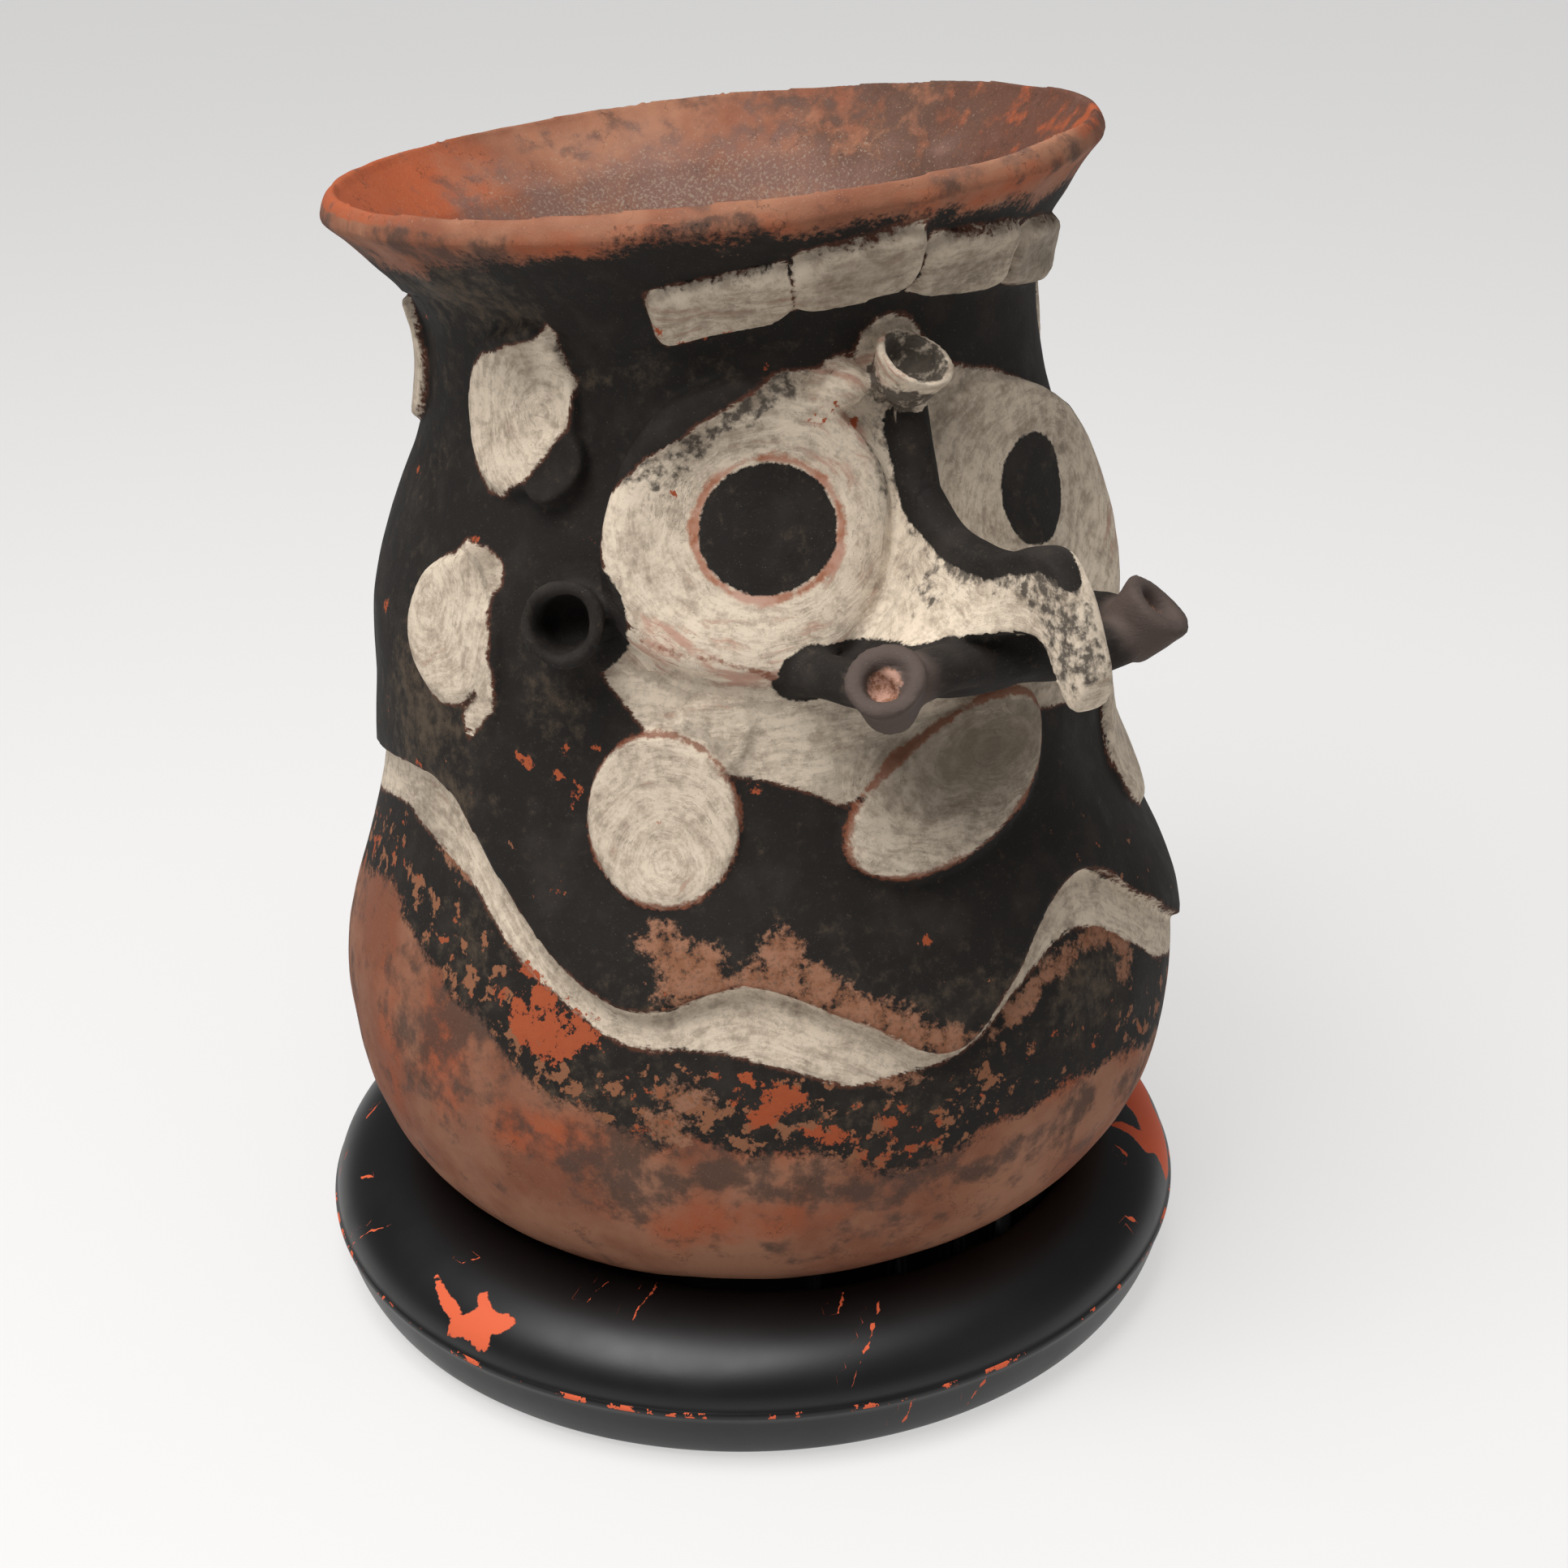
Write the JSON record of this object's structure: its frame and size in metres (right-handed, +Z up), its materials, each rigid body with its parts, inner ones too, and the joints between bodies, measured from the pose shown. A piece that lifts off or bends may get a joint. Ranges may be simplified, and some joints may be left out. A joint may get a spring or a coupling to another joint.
{
  "type": "sago storage jar",
  "caption": "Round-bottomed clay storage jar with a modelled beaked face, raised pads and a wavy band, resting in a black support ring.",
  "frame": {"origin": "on the floor under the middle of the whole object", "axes": "+Z up along the object's height, the modelled face looks along -Y, +X to the right of a viewer who stands in front of the face"},
  "size_m": [0.432, 0.4744, 0.5667],
  "materials": {
    "painted_clay": "matt fired clay with black, white and bare red areas, worn and speckled",
    "ring_paint": "satin black paint with thin orange cracks"
  },
  "bodies": {
    "root": {"jar": "painted_clay", "support_ring": "ring_paint"}
  },
  "joints": []
}
